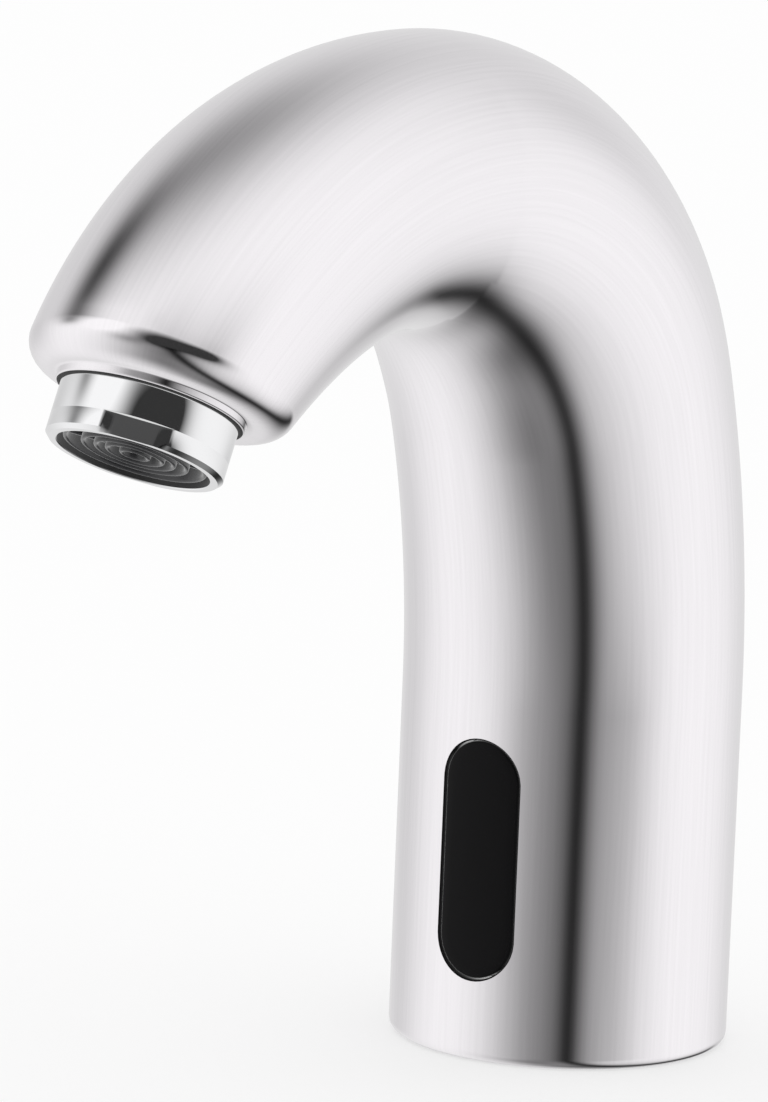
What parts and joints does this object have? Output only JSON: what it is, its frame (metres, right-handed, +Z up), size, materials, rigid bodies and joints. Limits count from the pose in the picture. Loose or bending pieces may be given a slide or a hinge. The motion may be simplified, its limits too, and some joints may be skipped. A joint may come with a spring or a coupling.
{
  "type": "sensor tap",
  "caption": "Deck-mounted touch-free basin tap: curved one-piece spout with a front sensor window, solenoid valve in the column and a screw-in aerator",
  "frame": {"origin": "middle of the foot on the deck plane, at the mouth of the supply inlet", "axes": "+Z up along the column, -Y forwards to the outlet, +X to the right-hand side of a user who looks from the basin's far side towards +Y"},
  "size_m": [0.0502, 0.1539, 0.1532],
  "materials": {
    "satin_chrome": "satin brushed chrome plating on a brass casting",
    "polished_chrome": "mirror polished chrome plating",
    "window_black": "near-black polished acrylic",
    "black_rubber": "matt moulded rubber",
    "brass": "machined",
    "steel": "stamped or turned stainless steel",
    "valve_nylon": "moulded glass-filled nylon",
    "white_acetal": "moulded",
    "grille_grey": "moulded dark grey",
    "copper": "enamelled wire",
    "board_green": "solder-masked laminate",
    "chip_black": "moulded epoxy",
    "diode_tint": "clear tinted epoxy"
  },
  "bodies": {
    "tap": {"aerator_washer": "black_rubber", "armature_tube": "steel", "base_gasket": "black_rubber", "base_plate": "brass", "base_screw_1": "steel", "base_screw_2": "steel", "base_screw_3": "steel", "base_screw_4": "steel", "board_regulator": "chip_black", "bracket_screw_1": "steel", "bracket_screw_2": "steel", "case_screw": "steel", "check_valve_cage": "white_acetal", "check_valve_spring": "steel", "coil_bobbin": "valve_nylon", "coil_nut": "steel", "coil_winding": "copper", "coil_yoke": "steel", "controller_chip": "chip_black", "diaphragm": "black_rubber", "ferrule_seal": "black_rubber", "infrared_emitter": "diode_tint", "infrared_receiver": "diode_tint", "inlet_filter": "steel", "inlet_nipple": "brass", "lead_socket": "chip_black", "outlet_ferrule": "brass", "plunger_spring": "steel", "power_lead_grommet": "black_rubber", "riser_nut": "brass", "riser_tube": "copper", "sensor_board": "board_green", "sensor_bracket": "steel", "sensor_case": "valve_nylon", "sensor_window": "window_black", "spout_body": "satin_chrome", "valve_body": "valve_nylon", "valve_bonnet": "valve_nylon", "valve_screw_1": "steel", "valve_screw_2": "steel", "valve_screw_3": "steel", "valve_screw_4": "steel", "window_gasket": "black_rubber"},
    "plunger_group": {"plunger": "steel", "plunger_seal": "black_rubber"},
    "diaphragm_group": {"diaphragm_insert": "white_acetal"},
    "check_valve_group": {"check_valve_poppet": "white_acetal"},
    "aerator_cartridge": {"aerator_insert": "grille_grey", "aerator_core": "grille_grey", "flow_regulator_ring": "black_rubber", "aerator_screen_1": "steel", "aerator_screen_2": "steel"},
    "aerator_group": {"aerator_housing": "polished_chrome"}
  },
  "joints": [
    {"name": "aerator_travel", "type": "slide", "parent": "tap", "child": "aerator_cartridge", "axis": [0, -0.454, -0.891], "range_m": [0, 0.006]},
    {"name": "aerator_turn", "type": "hinge", "parent": "aerator_cartridge", "child": "aerator_group", "pos_m": [0, -0.11342, 0.10798], "axis": [0, -0.454, -0.891], "range_deg": [0, 2160]},
    {"name": "plunger_lift", "type": "slide", "parent": "tap", "child": "plunger_group", "axis": [0, 0, 1], "range_m": [0, 0.0022], "stiffness_N_per_m": 150, "springref_m": -0.006, "deforming": ["plunger_spring"]},
    {"name": "diaphragm_lift", "type": "slide", "parent": "tap", "child": "diaphragm_group", "axis": [0, 0, 1], "range_m": [0, 0.0015], "deforming": ["diaphragm"]},
    {"name": "check_valve_lift", "type": "slide", "parent": "tap", "child": "check_valve_group", "axis": [0, 0, 1], "range_m": [0, 0.002], "stiffness_N_per_m": 60, "springref_m": -0.005, "deforming": ["check_valve_spring"]}
  ],
  "couplings": [
    {"joint": "aerator_turn", "follows": "aerator_travel", "rad_per_m": 6283.2},
    {"joint": "diaphragm_lift", "follows": "plunger_lift", "ratio": 0.68}
  ]
}
